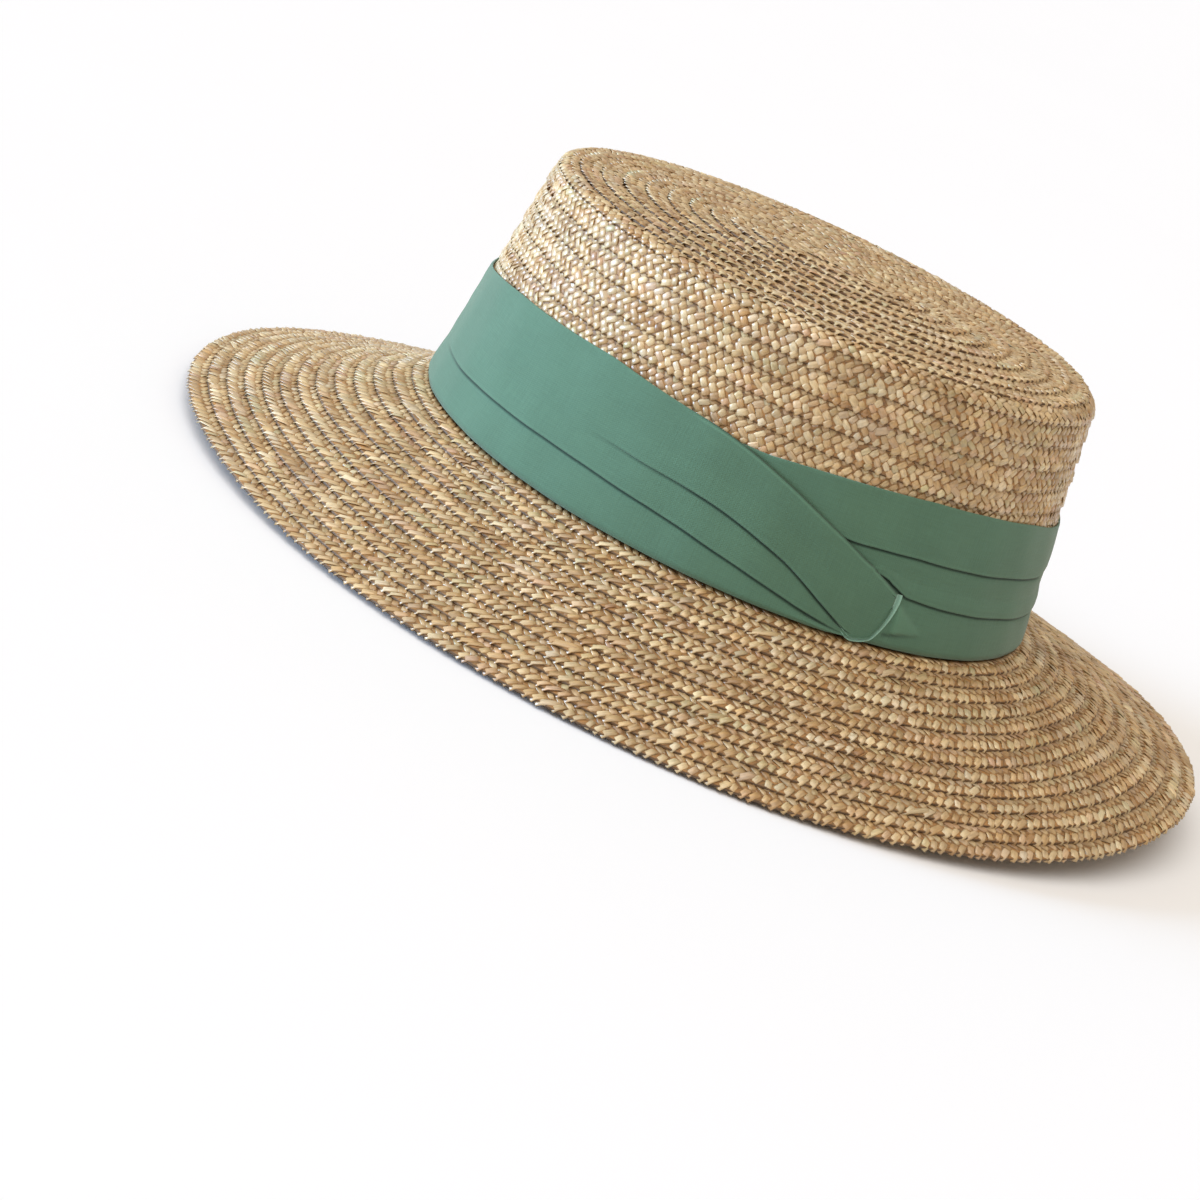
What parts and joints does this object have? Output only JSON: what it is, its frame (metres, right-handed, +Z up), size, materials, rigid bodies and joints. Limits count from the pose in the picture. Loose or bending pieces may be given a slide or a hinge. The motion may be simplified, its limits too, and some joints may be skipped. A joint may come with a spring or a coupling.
{
  "type": "straw boater hat",
  "caption": "Oval straw boater of sewn braid with a flat tip, a sloping round brim and a pleated teal cloth band that laps over itself at the side.",
  "frame": {"origin": "on the surface under the middle of the hat, which stands crown up on its brim edge", "axes": "+Z up through the crown, -Y to the front of the hat, +X to the wearer's left, the side with the band's lap"},
  "size_m": [0.298, 0.3356, 0.1123],
  "materials": {
    "straw_braid": "plaited wheat straw, semi-gloss, cream to golden brown",
    "band_cloth": "matte fine-woven teal-green cloth"
  },
  "bodies": {
    "root": {"crown": "straw_braid", "brim": "straw_braid", "band": "band_cloth", "band_lap": "band_cloth"}
  },
  "joints": []
}
